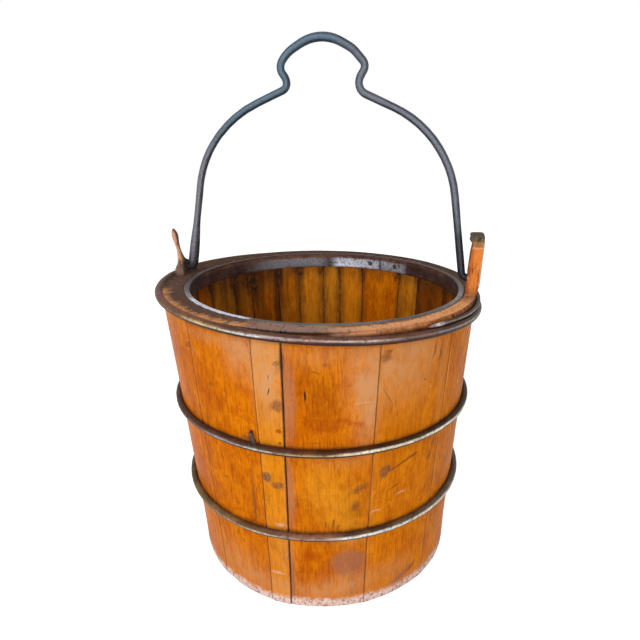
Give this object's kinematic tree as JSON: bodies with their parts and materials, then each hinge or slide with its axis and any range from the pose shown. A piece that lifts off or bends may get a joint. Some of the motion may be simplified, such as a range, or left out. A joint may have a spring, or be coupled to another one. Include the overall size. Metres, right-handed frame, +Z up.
{
  "type": "bucket",
  "caption": "Tapered coopered wooden bucket with round iron hoops, an iron band let into its mouth, tall ear staves, and a swinging forged bail with a raised hand grip.",
  "frame": {"origin": "on the bucket's axis at the plane that its foot stands on", "axes": "+Z up along the bucket's axis, X through the two ears along the bail's hinge, +Y away from the viewer"},
  "size_m": [0.3321, 0.3321, 0.5264],
  "materials": {
    "varnished_wood": "glossy honey varnish over worn wood",
    "bottom_wood": "dull, dark with use",
    "peg_bamboo": "split, dry",
    "hoop_iron": "dark forged iron, worn bright below",
    "band_iron": "pitted dark iron",
    "bail_iron": "smooth blue-grey forged iron"
  },
  "bodies": {
    "bucket": {"band_nails": "band_iron", "board_dowels": "peg_bamboo", "bottom_board_1": "bottom_wood", "bottom_board_2": "bottom_wood", "bottom_board_3": "bottom_wood", "bottom_board_4": "bottom_wood", "ear_stave_left": "varnished_wood", "ear_stave_right": "varnished_wood", "lower_hoop": "hoop_iron", "middle_hoop": "hoop_iron", "mouth_band_front": "band_iron", "mouth_band_left": "band_iron", "mouth_band_right": "band_iron", "stave_01": "varnished_wood", "stave_02": "varnished_wood", "stave_03": "varnished_wood", "stave_04": "varnished_wood", "stave_05": "varnished_wood", "stave_06": "varnished_wood", "stave_07": "varnished_wood", "stave_08": "varnished_wood", "stave_09": "varnished_wood", "stave_10": "varnished_wood", "stave_11": "varnished_wood", "stave_12": "varnished_wood", "stave_13": "varnished_wood", "stave_14": "varnished_wood", "stave_15": "varnished_wood", "stave_16": "varnished_wood", "stave_17": "varnished_wood", "stave_18": "varnished_wood", "stave_pegs": "peg_bamboo", "top_hoop": "hoop_iron"},
    "bail": {"bail": "bail_iron"}
  },
  "joints": [
    {"name": "bail_swing", "type": "hinge", "parent": "bucket", "child": "bail", "pos_m": [0, 0, 0.303], "axis": [1, 0, 0], "range_deg": [-92, 89.5]}
  ]
}
